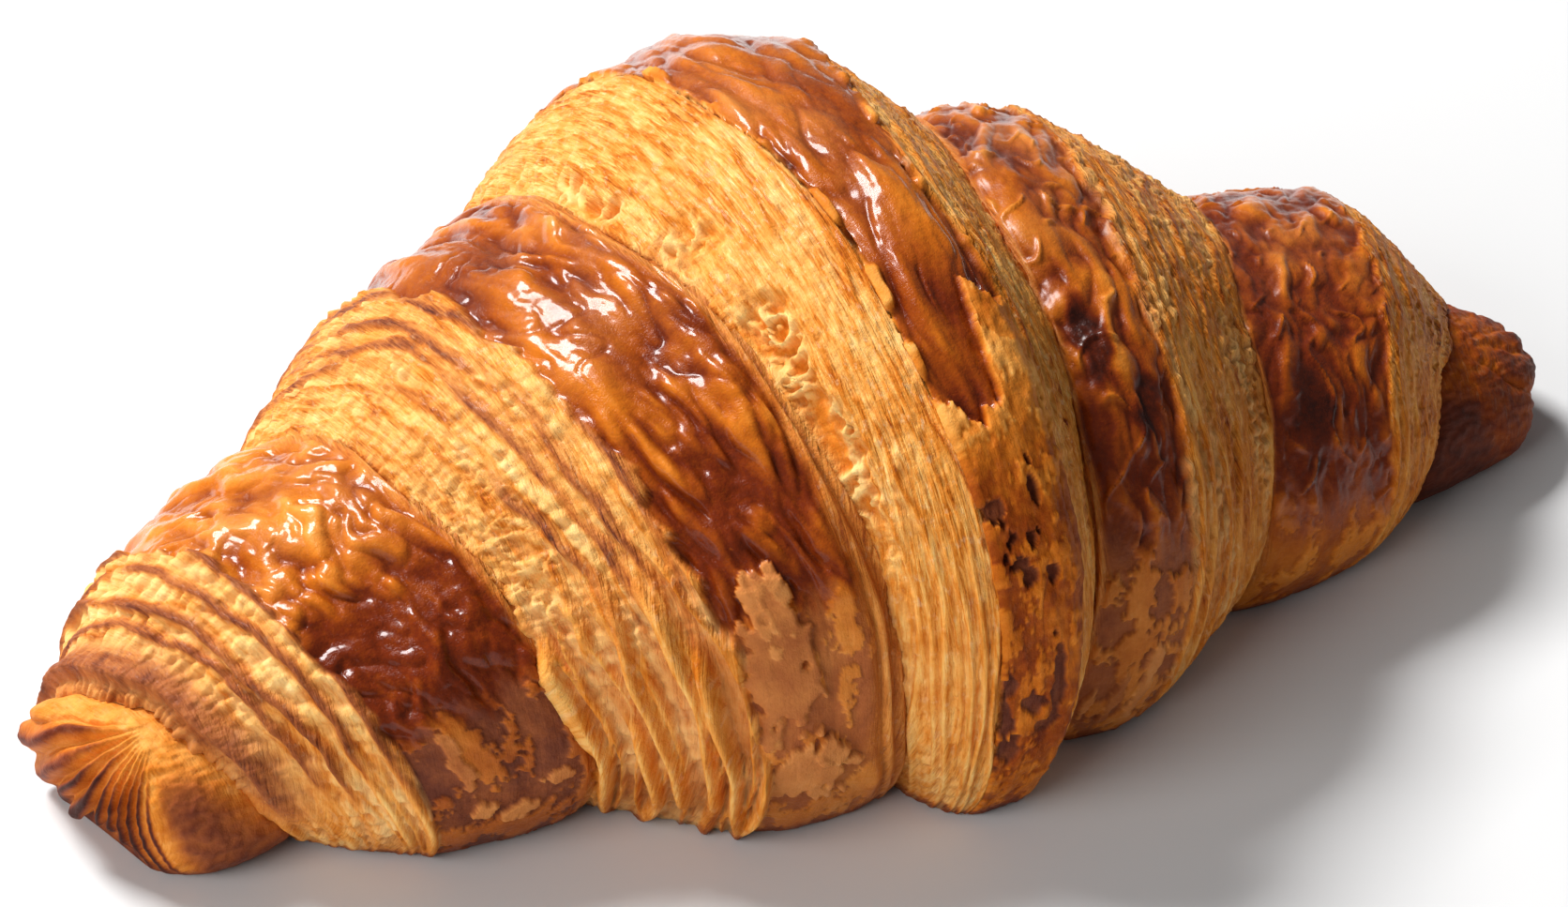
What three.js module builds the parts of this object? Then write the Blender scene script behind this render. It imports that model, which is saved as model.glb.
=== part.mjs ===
import * as THREE from 'three';

// A butter croissant, in millimetres, +Z up, resting on the plane z = 0.
// A long triangle of laminated dough is rolled from its wide base to its point, so the roll
// shows a middle band, the tongue, and two narrower turns and a tip on each side of it.
// Every turn has a glossy crown, a layered face where the dough was cut, and a crevice
// where the next turn comes out from under it. The cut edges wind round the roll in a screw.

// Driving dimensions of the roll
const HALF_LENGTH = 80;
const WIDTH_FACTOR = 1.17;      // half the width over the roll's radius
const HEIGHT_FACTOR = 0.895;    // half the height over the roll's radius
const AXIS_HEIGHT = 0.532;      // height of the roll's axis over half the height
const FOOT_TUCK = 0.2;          // how much the foot draws in towards the tips

// The two sides of the roll: -1 is the left tip and +1 the right one. Distances are along
// the axis from the middle.
//   radii        of the roll at every fifth of the half length, over its crests
//   firstEdge    from the middle to the first cut edge, under the roll
//   pitch        between two cut edges, which is also what an edge advances in one turn
//   bow, hook    how far the side and its tip curve towards the front
//   tongueFace   width of the tongue's layered face under the roll and at its top
//   crest        where the crown of a turn ends and its layered face begins, as a share of
//                the way from crevice to crevice
//   step         what a layered face falls from crest to crevice, over the radius
//   faceCurve    how round that fall is
//   reach        from the middle to the middle of the tip's end
//   undercut     how far the top of that end leans out and its foot is set back
//   footStep     share of the last step that is left at the foot
//   tipSwell     share of the last step that the tip regains
const LEFT = {
  sign: -1, radii: [40.3, 36.7, 30.6, 24.2, 18, 10.2], firstEdge: 4.2, pitch: 28.6,
  bow: 4.4, hook: 3.6, reach: 78.6, undercut: 1.6, footStep: 0.8, tipSwell: 0.8,
  tongueFace: { low: 1.6, high: 12.5 }, crest: [0.51, 0.6], step: [0.11, 0.16, 0.25],
  faceCurve: [2.2, 1.35, 1.7],
};
const RIGHT = {
  sign: 1, radii: [40.3, 34.9, 28.9, 22.2, 17.7, 8.4], firstEdge: 2.7, pitch: 26.8,
  bow: 4, hook: 2.6, reach: 76.6, undercut: 2.2, footStep: 0.2, tipSwell: 0.1,
  tongueFace: { low: 2.2, high: 10.5 }, crest: [0.41, 0.59], step: [0.14, 0.15, 0.48],
  faceCurve: [1.5, 1.5, 1.5],
};
const TIP_LEAST = 3;            // the last crevice stays this far from the tip's end
const EDGE_LEAST = 2;           // and the crevices stay this far from each other

// Relief
const CREVICE_DEPTH = 1.0;
const CREVICE_WIDTH = 0.7;
const LAYER_RELIEF = 0.45;      // how far a layer's edge stands out of the cut face
const LAYER_SHIFT = 0.035;      // how far it wanders, over the width of the face
const LAYERS = 5;
const BLISTER_RELIEF = 0.55;
const EDGE_WANDER = 0.55;
const END_BULGE = 1.2;          // how far the tip's end face stands out
const PLEATS = 12;
const PLEAT_RELIEF = 0.55;

// Facets
const COLUMNS = 48;
const CROWN_STATIONS = [0.1, 0.28, 0.52, 0.78];
const TONGUE_STATIONS = 7;
const TIP_STATIONS = [0.1, 0.3, 0.55, 0.8, 0.96];
const CLOSING_STATIONS = [0.12, 0.45, 0.75];

const TURN = 2 * Math.PI;
const RETURN_FROM = 0.84 * TURN;  // under the roll, where the edges run back to their start

function smooth(t) {
  const c = Math.min(Math.max(t, 0), 1);
  return c * c * (3 - 2 * c);
}

function mix(a, b, t) {
  return a + (b - a) * t;
}

// Share of a turn that the cut edge has wound at this angle. The angle runs from the
// underside, up the front, over the top and down the back.
function wound(angle) {
  const share = angle / TURN;
  const back = smooth((angle - RETURN_FROM) / (TURN - RETURN_FROM));
  return mix(share, 0, back);
}

// Uneven hand-rolled edges and blistered skin, as sums of a few waves
function wander(angle, seed) {
  return EDGE_WANDER * (Math.sin(3 * angle + 1.9 * seed) + 0.6 * Math.sin(7 * angle + 2.7 * seed));
}

function blisters(along, angle) {
  const broad = Math.sin(0.31 * along + 2 * Math.sin(2 * angle)) * Math.sin(5 * angle + 0.11 * along);
  const small = Math.sin(0.73 * along - 9 * angle) * Math.sin(0.41 * along + 11 * angle + 1.3);
  return BLISTER_RELIEF * (0.7 * broad + 0.5 * small);
}

// A smooth curve through the radii of a side
function rollRadius(side, share) {
  const last = side.radii.length - 1;
  const place = Math.min(Math.max(share, 0), 1) * last;
  const span = Math.min(Math.floor(place), last - 1);
  const t = place - span;
  const value = (i) => side.radii[Math.min(Math.max(i, 0), last)];
  const slope = (i) => (i === last ? value(last) - value(last - 1) : (value(i + 1) - value(i - 1)) / 2);
  const bend = mix(slope(span), -slope(span + 1), t) + (2 * t - 1) * (value(span + 1) - value(span));
  return mix(value(span), value(span + 1), t) + t * (1 - t) * bend;
}

// Distance from the middle of crevice number turn, in millimetres
function crevice(side, turn, angle) {
  const place = side.firstEdge + side.pitch * (turn + wound(angle)) + wander(angle, turn + side.sign);
  const limit = side.reach - TIP_LEAST - EDGE_LEAST * (2 - turn);
  return limit - Math.log1p(Math.exp(limit - place));
}

// Width of the tongue's layered face, which narrows towards the tongue's end
function tongueFace(side, angle) {
  const back = smooth((angle - RETURN_FROM) / (TURN - RETURN_FROM));
  return mix(side.tongueFace.low, side.tongueFace.high, Math.min(angle / Math.PI, 1) * (1 - back));
}

// A point of the skin: along is signed, and angle runs round the roll
function skinPoint(side, distance, angle, fullRadius) {
  const share = distance / HALF_LENGTH;
  const radius = fullRadius * (1 - FOOT_TUCK * share ** 2 * Math.max(Math.cos(angle), 0));
  const drift = -(side.bow * share ** 2 + side.hook * share ** 4);
  const lean = -side.sign * (2 * side.bow * share + 4 * side.hook * share ** 3) / HALF_LENGTH;
  const outward = -radius * WIDTH_FACTOR * Math.sin(angle);
  const scale = Math.hypot(1, lean);
  const axis = AXIS_HEIGHT * HEIGHT_FACTOR * rollRadius(side, share);
  return new THREE.Vector3(
    side.sign * distance - outward * lean / scale,
    drift + outward / scale,
    Math.max(axis - radius * HEIGHT_FACTOR * Math.cos(angle), 0),
  );
}

// Edges of the dough layers on a cut face: they stand out at each layer and sink between
function layerStations() {
  const stations = [];
  for (let layer = 0; layer < LAYERS; layer += 1) {
    stations.push({ at: (layer + 0.25) / LAYERS, relief: LAYER_RELIEF });
    stations.push({ at: (layer + 0.8) / LAYERS, relief: -LAYER_RELIEF });
  }
  return stations;
}

// The layers part and close up again along the face, and fade in and out
function layerStrength(angle, at, seed) {
  return 0.65 + 0.35 * Math.sin(4 * angle + 9 * at + 2.1 * seed);
}

function layerShift(angle, at, seed) {
  return LAYER_SHIFT * Math.sin(Math.PI * at) * Math.sin(5 * angle + 5 * at + 1.3 * seed);
}

// The step from crest to crevice, over the radius. The last one is less at its foot.
function stepAt(side, turn, angle) {
  const atFoot = turn === 2 ? side.footStep : 1;
  return side.step[turn] * mix(atFoot, 1, (1 - Math.cos(angle)) / 2);
}

// Each row is a function of the angle that gives a distance along the side and a radius
function crownRow(side, turn, at) {
  return (angle) => {
    const from = crevice(side, turn - 1, angle);
    const crest = mix(from, crevice(side, turn, angle), side.crest[turn - 1]);
    const distance = mix(from, crest, at);
    const step = side.step[turn - 1] * (1 - Math.sin(at * Math.PI / 2) ** 0.8);
    const radius = rollRadius(side, distance / HALF_LENGTH) * (1 - step);
    return { distance, radius: radius + blisters(side.sign * distance, angle) * at };
  };
}

function faceRow(side, turn, station) {
  return (angle) => {
    const to = crevice(side, turn, angle);
    const from = turn === 0
      ? to - tongueFace(side, angle)
      : mix(crevice(side, turn - 1, angle), to, side.crest[turn - 1]);
    const at = station.at + layerShift(angle, station.at, turn);
    const distance = mix(from, to, at);
    const fall = stepAt(side, turn, angle) * at ** side.faceCurve[turn];
    const radius = rollRadius(side, distance / HALF_LENGTH) * (1 - fall);
    return { distance, radius: radius + station.relief * layerStrength(angle, station.at, turn) };
  };
}

function creviceRows(side, turn) {
  return [0, CREVICE_WIDTH].map((beyond) => (angle) => {
    const distance = crevice(side, turn, angle) + beyond;
    const radius = rollRadius(side, distance / HALF_LENGTH) * (1 - stepAt(side, turn, angle));
    return { distance, radius: radius - (beyond > 0 ? CREVICE_DEPTH : 0) };
  });
}

// The tip is pinched into pleats that run from its crevice out to a leaning end
function tipRow(side, at, closing) {
  return (angle) => {
    const from = crevice(side, 2, angle) + CREVICE_WIDTH;
    const end = side.reach - side.undercut * Math.cos(angle);
    const distance = mix(from, end, at) + END_BULGE * closing * (2 - closing);
    const swell = side.tipSwell * Math.sin(at * Math.PI / 2);
    const open = rollRadius(side, distance / HALF_LENGTH) * (1 - stepAt(side, 2, angle) * (1 - swell));
    const pleat = PLEAT_RELIEF * at * Math.cos(PLEATS * angle);
    return { distance, radius: (open + pleat) * (1 - closing) };
  };
}

function sideRows(side) {
  const rows = [];
  for (let turn = 0; turn <= 2; turn += 1) {
    if (turn > 0) {
      CROWN_STATIONS.forEach((at) => rows.push(crownRow(side, turn, at)));
    }
    rows.push(faceRow(side, turn, { at: 0, relief: 0 }));
    layerStations().forEach((station) => rows.push(faceRow(side, turn, station)));
    creviceRows(side, turn).forEach((row) => rows.push(row));
  }
  TIP_STATIONS.forEach((at) => rows.push(tipRow(side, at, 0)));
  CLOSING_STATIONS.forEach((closing) => rows.push(tipRow(side, 1, closing)));
  return rows.map((row) => (angle) => {
    const { distance, radius } = row(angle);
    return skinPoint(side, distance, angle, radius);
  });
}

// The tongue's crown spans the middle, between the two layered faces
function tongueRows() {
  const rows = [];
  for (let i = 1; i < TONGUE_STATIONS; i += 1) {
    const across = i / TONGUE_STATIONS;
    rows.push((angle) => {
      const left = -(crevice(LEFT, 0, angle) - tongueFace(LEFT, angle));
      const right = crevice(RIGHT, 0, angle) - tongueFace(RIGHT, angle);
      const along = mix(left, right, across);
      const side = along < 0 ? LEFT : RIGHT;
      const distance = Math.abs(along);
      const swell = blisters(along, angle) * Math.sin(Math.PI * across);
      return skinPoint(side, distance, angle, rollRadius(side, distance / HALF_LENGTH) + swell);
    });
  }
  return rows;
}

function endPoint(side) {
  return skinPoint(side, side.reach + END_BULGE, Math.PI / 2, 0);
}

// The closed skin: rows of points from the left end to the right end, joined by triangles
function croissantGeometry() {
  const rows = [...sideRows(LEFT).reverse(), ...tongueRows(), ...sideRows(RIGHT)];
  const points = [endPoint(LEFT)];
  rows.forEach((row) => {
    for (let column = 0; column < COLUMNS; column += 1) {
      points.push(row(TURN * column / COLUMNS));
    }
  });
  points.push(endPoint(RIGHT));

  const at = (row, column) => 1 + row * COLUMNS + (column % COLUMNS);
  const triangles = [];
  for (let column = 0; column < COLUMNS; column += 1) {
    triangles.push(0, at(0, column), at(0, column + 1));
    for (let row = 0; row + 1 < rows.length; row += 1) {
      const near = [at(row, column), at(row, column + 1)];
      const far = [at(row + 1, column), at(row + 1, column + 1)];
      triangles.push(near[0], far[0], far[1], near[0], far[1], near[1]);
    }
    triangles.push(at(rows.length - 1, column + 1), at(rows.length - 1, column), points.length - 1);
  }

  const geometry = new THREE.BufferGeometry().setFromPoints(points);
  geometry.setIndex(triangles);
  geometry.computeBoundingBox();
  const centre = geometry.boundingBox.getCenter(new THREE.Vector3());
  geometry.translate(-centre.x, -centre.y, -geometry.boundingBox.min.z);
  geometry.computeVertexNormals();
  return geometry;
}

const bakedCrust = new THREE.MeshStandardMaterial({ color: 0xbf7a34, roughness: 0.45, metalness: 0 });
const croissant = new THREE.Mesh(croissantGeometry(), bakedCrust);
croissant.name = 'croissant';

const group = new THREE.Group();
group.add(croissant);

export default group;
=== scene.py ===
import bpy
import numpy as np
from mathutils import Matrix, Vector


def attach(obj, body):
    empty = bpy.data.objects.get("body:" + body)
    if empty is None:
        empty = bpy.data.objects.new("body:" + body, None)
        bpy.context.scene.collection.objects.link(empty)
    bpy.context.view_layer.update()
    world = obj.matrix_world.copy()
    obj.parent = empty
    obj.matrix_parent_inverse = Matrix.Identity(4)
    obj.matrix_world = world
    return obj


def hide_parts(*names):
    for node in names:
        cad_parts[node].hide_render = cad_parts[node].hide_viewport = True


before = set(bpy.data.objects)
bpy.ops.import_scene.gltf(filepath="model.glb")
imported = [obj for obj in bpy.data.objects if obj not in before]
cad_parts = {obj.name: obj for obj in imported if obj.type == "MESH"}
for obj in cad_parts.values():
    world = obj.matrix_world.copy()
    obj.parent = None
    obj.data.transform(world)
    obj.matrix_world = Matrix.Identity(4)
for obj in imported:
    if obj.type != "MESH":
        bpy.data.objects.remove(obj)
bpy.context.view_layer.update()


# The tongue: the middle band of the roll, where the wide base of the dough triangle ends.
# Laminated butter dough. The egg glaze was brushed down its crown as far as the brush went;
# below that is dry skin that has burst in places. Its two cut faces dry out into layers.

# The roll as the solid has it, in millimetres, with shares of its radius for depths and heights.
# Each side has its radii at equal steps from the middle out, the edges of its turns, how it bows
# and hooks forward, its tip, and how far the tongue's crest is from the first edge. Then come the
# place of each crest in its turn, the depth of the step beyond it, and how that step falls. The
# glaze of the right side is rougher: its highlights are dim and wide.
TURN = 2 * np.pi
HALF_LENGTH = 80.0
WIDTH_FACTOR = 1.17
HEIGHT_FACTOR = 0.895
AXIS_HEIGHT = 0.532
FOOT_TUCK = 0.2
RETURN_FROM = 0.84 * TURN
TIP_LEAST = 3.0
EDGE_LEAST = 2.0
EDGE_WANDER = 0.55
CREVICE_DEPTH = 0.4

LEFT = dict(
    sign=-1, radii=(40.3, 36.7, 30.6, 24.2, 18, 10.2), first_edge=4.2, pitch=28.6,
    bow=4.4, hook=3.6, reach=78.6, undercut=1.6, foot_step=0.8, tip_swell=0.8,
    tongue_low=1.6, tongue_high=12.5, crest=(0.51, 0.6), step=(0.11, 0.16, 0.25),
    face_curve=(2.2, 1.35, 1.7), coat_roughness=0.12,
)
RIGHT = dict(
    sign=1, radii=(40.3, 34.9, 28.9, 22.2, 17.7, 8.4), first_edge=2.7, pitch=26.8,
    bow=4.0, hook=2.6, reach=76.6, undercut=2.2, foot_step=0.2, tip_swell=0.1,
    tongue_low=2.2, tongue_high=10.5, crest=(0.41, 0.59), step=(0.14, 0.15, 0.48),
    face_curve=(1.5, 1.5, 1.5), coat_roughness=0.28,
)


def mix(a, b, t):
    """a at 0, b at 1."""
    return a + (b - a) * t


def smooth(t):
    """From 0 to 1 with soft ends."""
    t = np.clip(t, 0, 1)
    return t * t * (3 - 2 * t)


def between(value, low, high):
    """0 at low, 1 at high."""
    return smooth((value - low) / (high - low))


def wound(angle):
    """Share of a turn that the cut edge has wound: it runs back under the roll."""
    return angle / TURN * (1 - between(angle, RETURN_FROM, TURN))


def roll_radius(side, distance):
    """The radius so far from the middle, on a smooth curve through the side's radii."""
    radii = np.array(side["radii"], float)
    last = len(radii) - 1
    place = np.clip(distance / HALF_LENGTH, 0, 1) * last
    span = np.minimum(np.floor(place).astype(int), last - 1)
    t = place - span
    slopes = np.gradient(radii)
    slopes[0] = (radii[1] - radii[0]) / 2
    a, b = radii[span], radii[span + 1]
    bend = mix(slopes[span], -slopes[span + 1], t) + (2 * t - 1) * (b - a)
    return mix(a, b, t) + t * (1 - t) * bend


def crevice(side, turn, angle):
    """How far from the middle a turn ends and the next comes out from under it."""
    seed = turn + side["sign"]
    wander = EDGE_WANDER * (np.sin(3 * angle + 1.9 * seed) + 0.6 * np.sin(7 * angle + 2.7 * seed))
    place = side["first_edge"] + side["pitch"] * (turn + wound(angle)) + wander
    limit = side["reach"] - TIP_LEAST - EDGE_LEAST * (2 - turn)
    return limit - np.logaddexp(0, limit - place)


def crest(side, turn, angle):
    """How far from the middle a turn's crown gives way to its cut face."""
    if turn == 0:
        height = np.minimum(angle / np.pi, 1) * (1 - between(angle, RETURN_FROM, TURN))
        return crevice(side, 0, angle) - mix(side["tongue_low"], side["tongue_high"], height)
    return mix(crevice(side, turn - 1, angle), crevice(side, turn, angle), side["crest"][turn - 1])


def step_at(side, turn, angle):
    """Depth of the step beyond a turn, as a share of the radius."""
    at_foot = side["foot_step"] if turn == 2 else 1.0
    return side["step"][turn] * mix(at_foot, 1, (1 - np.cos(angle)) / 2)


def skin(side, distance, angle, full_radius):
    """Points of the roll's skin, in millimetres from the middle of the roll."""
    share = distance / HALF_LENGTH
    radius = full_radius * (1 - FOOT_TUCK * share ** 2 * np.maximum(np.cos(angle), 0))
    drift = -(side["bow"] * share ** 2 + side["hook"] * share ** 4)
    lean = -side["sign"] * (2 * side["bow"] * share + 4 * side["hook"] * share ** 3) / HALF_LENGTH
    outward = -radius * WIDTH_FACTOR * np.sin(angle)
    scale = np.hypot(1, lean)
    axis = AXIS_HEIGHT * HEIGHT_FACTOR * roll_radius(side, distance)
    return np.stack([
        side["sign"] * distance - outward * lean / scale,
        drift + outward / scale,
        axis - radius * HEIGHT_FACTOR * np.cos(angle),
    ], -1)


def columns(count):
    """Angles round the roll from its underside, closer together where the skin shows."""
    fine = np.linspace(0, TURN, 2001)
    under = np.minimum(fine, TURN - fine)
    weight = mix(0.12, 1.0, between(under, 0.4, 0.8)) * mix(1.0, 0.5, between(fine, 3.8, 4.3))
    total = np.concatenate([[0], np.cumsum((weight[1:] + weight[:-1]) / 2)])
    return np.interp(np.arange(count) / count * total[-1], total, fine)


def tuck_rows(side, turn, angle, inwards):
    """Rows that dive from a crevice into the roll; inwards is for the piece beyond it."""
    edge = crevice(side, turn, angle)
    valley = roll_radius(side, edge) * (1 - step_at(side, turn, angle))
    core = 0.5 * roll_radius(side, edge)
    if inwards:
        steps = ((-2.6, core), (-2.4, valley - 4.0), (-0.9, valley - 1.7))
    else:
        steps = ((-0.1, valley - 0.9), (-1.2, valley - 2.8), (-2.6, core))
    return np.stack([edge + shift for shift, _ in steps]), np.stack([radius for _, radius in steps])


def face_rows(side, turn, angle, count):
    """Rows down a cut face: their place along the roll, their radius and their share of the way."""
    f = np.linspace(0, 1, count)[:, None]
    distance = mix(crest(side, turn, angle), crevice(side, turn, angle), f)
    fall = step_at(side, turn, angle) * f ** side["face_curve"][turn]
    return distance, roll_radius(side, distance) * (1 - fall), f + 0 * distance


def lengths_round(base):
    """Millimetres round the roll, on the row in the middle of the piece."""
    row = base[base.shape[0] // 2]
    return np.concatenate([[0], np.cumsum(np.linalg.norm(np.diff(row, axis=0), axis=1))])


TONGUE_ROWS = (60, 60, 44)
TONGUE_COLUMNS = 540
TOP_ROUNDING = 3

angle = columns(TONGUE_COLUMNS)
left_tuck = tuck_rows(LEFT, 0, angle, False)
left_face = face_rows(LEFT, 0, angle, TONGUE_ROWS[0])
right_face = face_rows(RIGHT, 0, angle, TONGUE_ROWS[2])
right_tuck = tuck_rows(RIGHT, 0, angle, False)
share = np.linspace(0, 1, TONGUE_ROWS[1] + 1, endpoint=False)[1:, None]
place = mix(-crest(LEFT, 0, angle), crest(RIGHT, 0, angle), share)
rounded = np.sqrt(place ** 2 + TOP_ROUNDING ** 2) - TOP_ROUNDING
base = np.concatenate([
    skin(LEFT, left_tuck[0][::-1], angle, left_tuck[1][::-1]),
    skin(LEFT, left_face[0][::-1], angle, left_face[1][::-1]),
    np.where(
        (place < 0)[..., None],
        skin(LEFT, -place, angle, roll_radius(LEFT, rounded)),
        skin(RIGHT, place, angle, roll_radius(RIGHT, rounded)),
    ),
    skin(RIGHT, right_face[0], angle, right_face[1]),
    skin(RIGHT, right_tuck[0], angle, right_tuck[1]),
])
across = np.concatenate([
    -left_tuck[0][::-1], -left_face[0][::-1], place, right_face[0], right_tuck[0],
])
lengths = lengths_round(base)
t = lengths[None, :] + 0 * place[:1]


def hashed(i, j, seed):
    """A number from 0 to 1 for each point of a grid, the same on every run."""
    h = i * 374761393 + j * 668265263 + seed * 974634777
    h = ((h ^ (h >> 15)) * 2246822519) & 0xFFFFFFFF
    h = ((h ^ (h >> 13)) * 3266489917) & 0xFFFFFFFF
    return (h ^ (h >> 16)) / 4294967295.0


def lumps(x, y, seed):
    """Smooth noise, about -1 to 1."""
    x, y = np.broadcast_arrays(np.asarray(x, float), np.asarray(y, float))
    i = np.floor(x).astype(np.int64)
    j = np.floor(y).astype(np.int64)
    fx, fy = x - i, y - j

    def corner(di, dj):
        way = TURN * hashed(i + di, j + dj, seed)
        return np.cos(way) * (fx - di) + np.sin(way) * (fy - dj)

    ux = fx ** 3 * (fx * (fx * 6 - 15) + 10)
    uy = fy ** 3 * (fy * (fy * 6 - 15) + 10)
    low = mix(corner(0, 0), corner(1, 0), ux)
    high = mix(corner(0, 1), corner(1, 1), ux)
    return 1.5 * mix(low, high, uy)


def pillows(s, t, across, along, seed):
    """Puffed skin with sharp creases between the blisters: 0 in a crease, about 1 on top."""
    bend = lumps(s / (2.6 * across), t / (1.8 * along), seed + 7)
    lean = lumps(s / (2.6 * across), t / (1.8 * along), seed + 8)
    large = np.abs(lumps(s / across + 0.8 * bend, t / along + 0.8 * lean, seed))
    small = np.abs(lumps(s / (0.5 * across) + lean, t / (0.45 * along) + bend, seed + 1))
    return np.clip(large, 0, 1) ** 0.7 + 0.3 * small


def creases(s, t, across, along, seed, width=0.12):
    """Long thin lines, 1 on the line."""
    bend = lumps(s / (2 * across), t / along, seed + 1)
    return np.exp(-(lumps(s / across + 0.5 * bend, t / along, seed) / width) ** 2)


def patch(x, y, middle, half, rough, seed):
    """A ragged patch of skin: 1 inside."""
    edge = rough * (lumps(x / 2.6, y / 2.6, seed) + 0.6 * lumps(x / 1.0, y / 1.2, seed + 1))
    inside = 1 - np.hypot((x - middle[0]) / half[0], (y - middle[1]) / half[1]) + edge
    return between(inside, 0.0, 0.12)


def zone(like, **values):
    """Relief in millimetres, and the marks that baking left from 0 to 1, one value per point."""
    names = ("relief", "bake", "glaze", "skin", "crumb", "fibre")
    return {name: values.get(name, 0.0) + np.zeros(like.shape) for name in names}


def brim(s, x, t, look):
    """1 on a crown's skin, 0 beyond the ragged line near its crest where the skin ends."""
    seed = look["seed"]
    edge = 0.9 * lumps(0.5 * seed, t / 5, seed + 44) + 0.5 * lumps(x / 1.0, t / 2.5, seed + 45)
    return between(s + edge, look["over"] + 0.15, look["over"] - 0.3)


GRAIN_HEIGHT = 0.045
TORN_HEIGHT = 0.35


# What the look of a crown holds. Its skin: the size of a puff across and along the wrap, how
# high it puffs, how lobed, how busy and how folded it is, a shoulder and a saddle across it, and
# millimetres by which it stops short of the crest. Its glaze: how baked it is, how much that
# varies, lighter on high puffs partly as painted light, how much darker it gets over dark_length
# millimetres down to its soft or sharp end. Below that: how baked, dull, glossy and torn the bare
# skin is.
def crown_zone(s, u, x, t, angle, glaze_end, look):
    """A glazed crown: s millimetres from its crest, less than 0 inside it, u of the way across it,
    and x and t millimetres across and round the roll."""
    seed = look["seed"]
    across, along = look["across"], look["along"]
    busy = look["busy"] + lumps(x / 9, t / 18, seed + 10) + 0.8 * between(angle, 2.9, 2.3)
    busy = between(busy, -0.3, 0.6)
    broad = lumps(x / (2.6 * across), t / (1.8 * along), seed + 9)
    sway = 0.6 * lumps(x / (2 * across), t / (0.8 * along), seed + 15)
    roll = lumps(x / (1.5 * across) + sway, t / (1.4 * along), seed + 2)
    lobe = lumps(x / (0.8 * across) + sway, t / along, seed + 4)
    small = lumps(x / (0.42 * across) + sway, t / (0.5 * along), seed + 6)
    puffed = pillows(x, t, 1.1 * across, 1.1 * along, seed + 8)
    wrinkle = creases(x + 0.3 * t, t - 0.5 * x, 3.4, 6.0, seed + 18, 0.09)
    wrinkle = wrinkle * between(lumps(x / 5, t / 8, seed + 19), -0.3, 0.3) * (1 - busy)
    calm = 0.5 + 0.50 * roll + 0.20 * lobe + 0.07 * small - 0.16 * wrinkle
    lobed = look["lobes"] * (0.42 * lobe + 0.12 * small + 0.5 * puffed - 0.2)
    lobed = 0.25 + 0.25 * roll + lobed + 0.2
    crease = np.exp(-(lobe / 0.15) ** 2) * busy * between(lumps(x / 3, t / 6, seed + 17), -0.5, 0.1)
    puff = mix(calm, lobed, busy) - 0.25 * crease
    grain = lumps(x / 0.7, t / 1.1, seed + 12) + 0.6 * lumps(x / 0.35, t / 0.6, seed + 13)
    fold = creases(x, t, 1.3 * across, 0.9 * along, seed + 14, 0.07)
    fold = fold * between(lumps(x / 3, t / 5, seed + 16), -0.1, 0.3)
    wave = look["puff"] * (puff + 0.6 * broad - 0.5) + look["fold"] * fold
    shoulder = look["shoulder"] * np.exp(-((u - 0.2) / 0.12) ** 2)
    saddle = look["saddle"] * np.exp(-((u - 0.55) / 0.22) ** 2) * (u > 0)
    # Where the brush stopped
    soft = look["edge_soft"]
    edge = 2.0 * lumps(x / 3.4, 0.3 * seed, seed + 41) + 1.3 * lumps(x / 1.1, t / 4, seed + 42)
    edge = edge + 0.7 * lumps(x / 0.5, t / 1.5, seed + 43)
    glaze = between(t + edge - glaze_end, -soft, soft) * brim(s, x, t, look)
    relief = wave * mix(0.2, 1.0, glaze) + GRAIN_HEIGHT * grain + shoulder - saddle
    # How far it baked, and darker lower down. Lighter on high puffs, partly the glaze's own tone
    # and partly painted light; darker in creases and wrinkles, painted shade; paler along the
    # folds, partly thin skin and partly a painted highlight.
    down = between(t - glaze_end, look["dark_length"], 2)
    tops_tone_and_painted_light = 0.5 * (lobe + 0.6 * small) + (puffed - 0.5)
    # Lighter where the puffs stand high: partly the glaze's own tone, partly painted light
    bake = look["bake"] - look["spread"] * mix(0.5 * roll, tops_tone_and_painted_light, busy) - 0.05 * broad
    # Painted shade darkens the creases; the folds are paler, partly a painted highlight
    bake = bake - look["fold"] * 0.45 * fold + look["low_bake"] * down + 0.08 * crease * glaze
    # Painted shade in the wrinkles
    bake = bake + 0.07 * wrinkle
    bake = np.minimum(bake + 0.10 * lumps(x / 6, t / 12, seed + 46), 0.86)
    # The bare skin below the glaze, torn golden in places
    bare = look["bare_bake"] + 0.10 * lumps(x / 5, t / 7, seed + 47)
    bare = bare + 0.05 * lumps(x / 1.6, t / 2, seed + 48)
    torn = lumps(x / 3.4, t / 5, seed + 49) + 0.5 * lumps(x / 1.2, t / 1.6, seed + 50)
    torn = torn + 0.3 * lumps(x / 0.5, t / 0.6, seed + 51)
    golden = between(torn + 0.20 * between(angle, 1.65, 1.2), 0.15, 0.27)
    bare = bare - 0.13 * golden - 0.4 * golden * (1 - golden)
    relief = relief + look["torn"] * TORN_HEIGHT * golden * (1 - glaze)
    matte = np.exp(-((angle - 3.15) / 0.38) ** 2)
    matte = matte * between(lumps(x / 4, t / 7, seed + 52), -0.5, 0.3)
    skin = (1 - glaze) * look["bare_skin"] * (1 - 0.6 * golden) + glaze * 0.38 * matte
    gloss = glaze * (1 - 0.12 * matte) + (1 - glaze) * look["bare_gloss"]
    bake = mix(bare, bake, glaze)
    return zone(s, relief=relief, bake=bake, glaze=gloss, skin=skin, fibre=0.08 * (1 - glaze))


def at_degrees(degrees, angle, lengths):
    """Millimetres round the roll at so many degrees from its underside."""
    return np.interp(np.radians(degrees), angle, lengths)


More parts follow.
